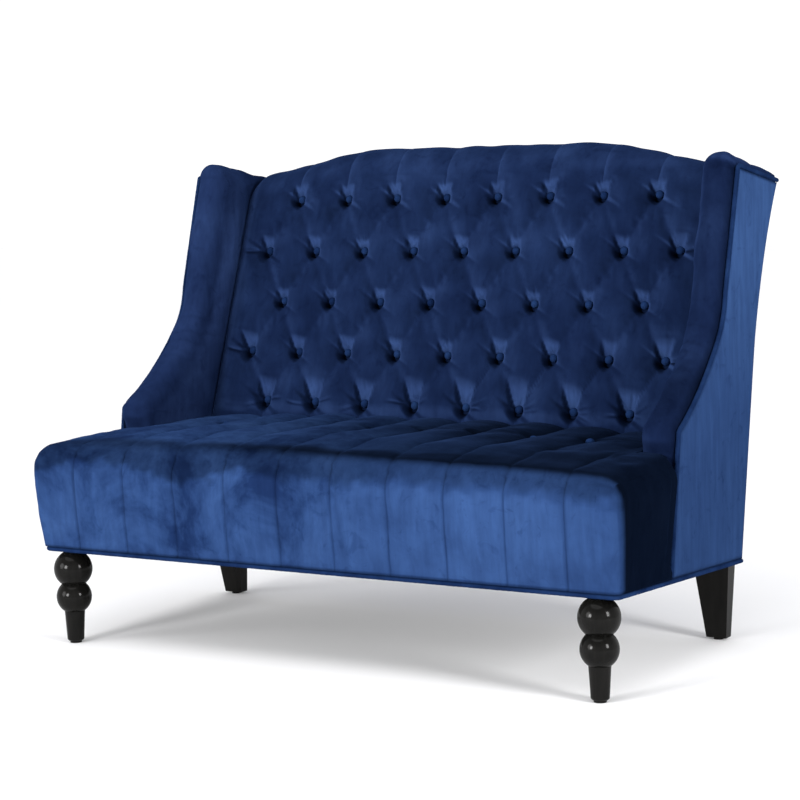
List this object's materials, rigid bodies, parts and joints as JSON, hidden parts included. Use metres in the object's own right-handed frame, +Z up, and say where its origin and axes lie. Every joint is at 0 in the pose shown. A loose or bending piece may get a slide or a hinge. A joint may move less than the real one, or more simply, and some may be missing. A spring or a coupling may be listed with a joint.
{
  "type": "wingback settee",
  "caption": "High-back upholstered settee with a diamond-tufted back, sweeping padded wings, a tight channelled seat, turned front legs and tapered rear legs.",
  "frame": {"origin": "on the floor under the middle of the whole settee's outline", "axes": "+X to the right as seen from the front, +Y from the seat's front edge to the back, +Z up"},
  "size_m": [1.34, 0.8492, 0.999],
  "materials": {
    "velvet": "royal blue velvet, brushed pile",
    "leg_black": "black satin lacquer",
    "frame_wood": "planed hardwood, unfinished",
    "plywood": "plywood, unfinished",
    "spring_steel": "dark drawn wire",
    "zinc_steel": "zinc plated",
    "glide_plastic": "matte black",
    "webbing": "jute webbing and twine",
    "dust_cloth": "black non-woven cloth",
    "deck_felt": "grey felt over burlap"
  },
  "bodies": {
    "root": {"back_buttons": "velvet", "back_pad": "velvet", "back_panel": "velvet", "back_post_left": "frame_wood", "back_post_right": "frame_wood", "back_stile": "frame_wood", "base_welt": "velvet", "button_ties": "webbing", "corner_blocks": "frame_wood", "crest_rail": "frame_wood", "dust_cover": "dust_cloth", "front_leg_left": "leg_black", "front_leg_right": "leg_black", "front_rail": "frame_wood", "hanger_bolts": "zinc_steel", "leg_glides": "glide_plastic", "leg_plate_screws": "zinc_steel", "leg_plates": "zinc_steel", "lower_back_rail": "frame_wood", "rear_leg_left": "leg_black", "rear_leg_right": "leg_black", "rear_rail": "frame_wood", "seat_braces": "frame_wood", "seat_buttons": "velvet", "seat_deck": "deck_felt", "seat_front_band": "velvet", "seat_pad": "velvet", "seat_side_band_left": "velvet", "seat_side_band_right": "velvet", "seat_springs": "spring_steel", "side_rail_left": "frame_wood", "side_rail_right": "frame_wood", "spring_clips": "spring_steel", "webbing_across": "webbing", "webbing_upright": "webbing", "wing_board_left": "plywood", "wing_board_right": "plywood", "wing_pad_left": "velvet", "wing_pad_right": "velvet", "wing_panel_left": "velvet", "wing_panel_right": "velvet", "wing_welt_left": "velvet", "wing_welt_right": "velvet"}
  },
  "joints": []
}
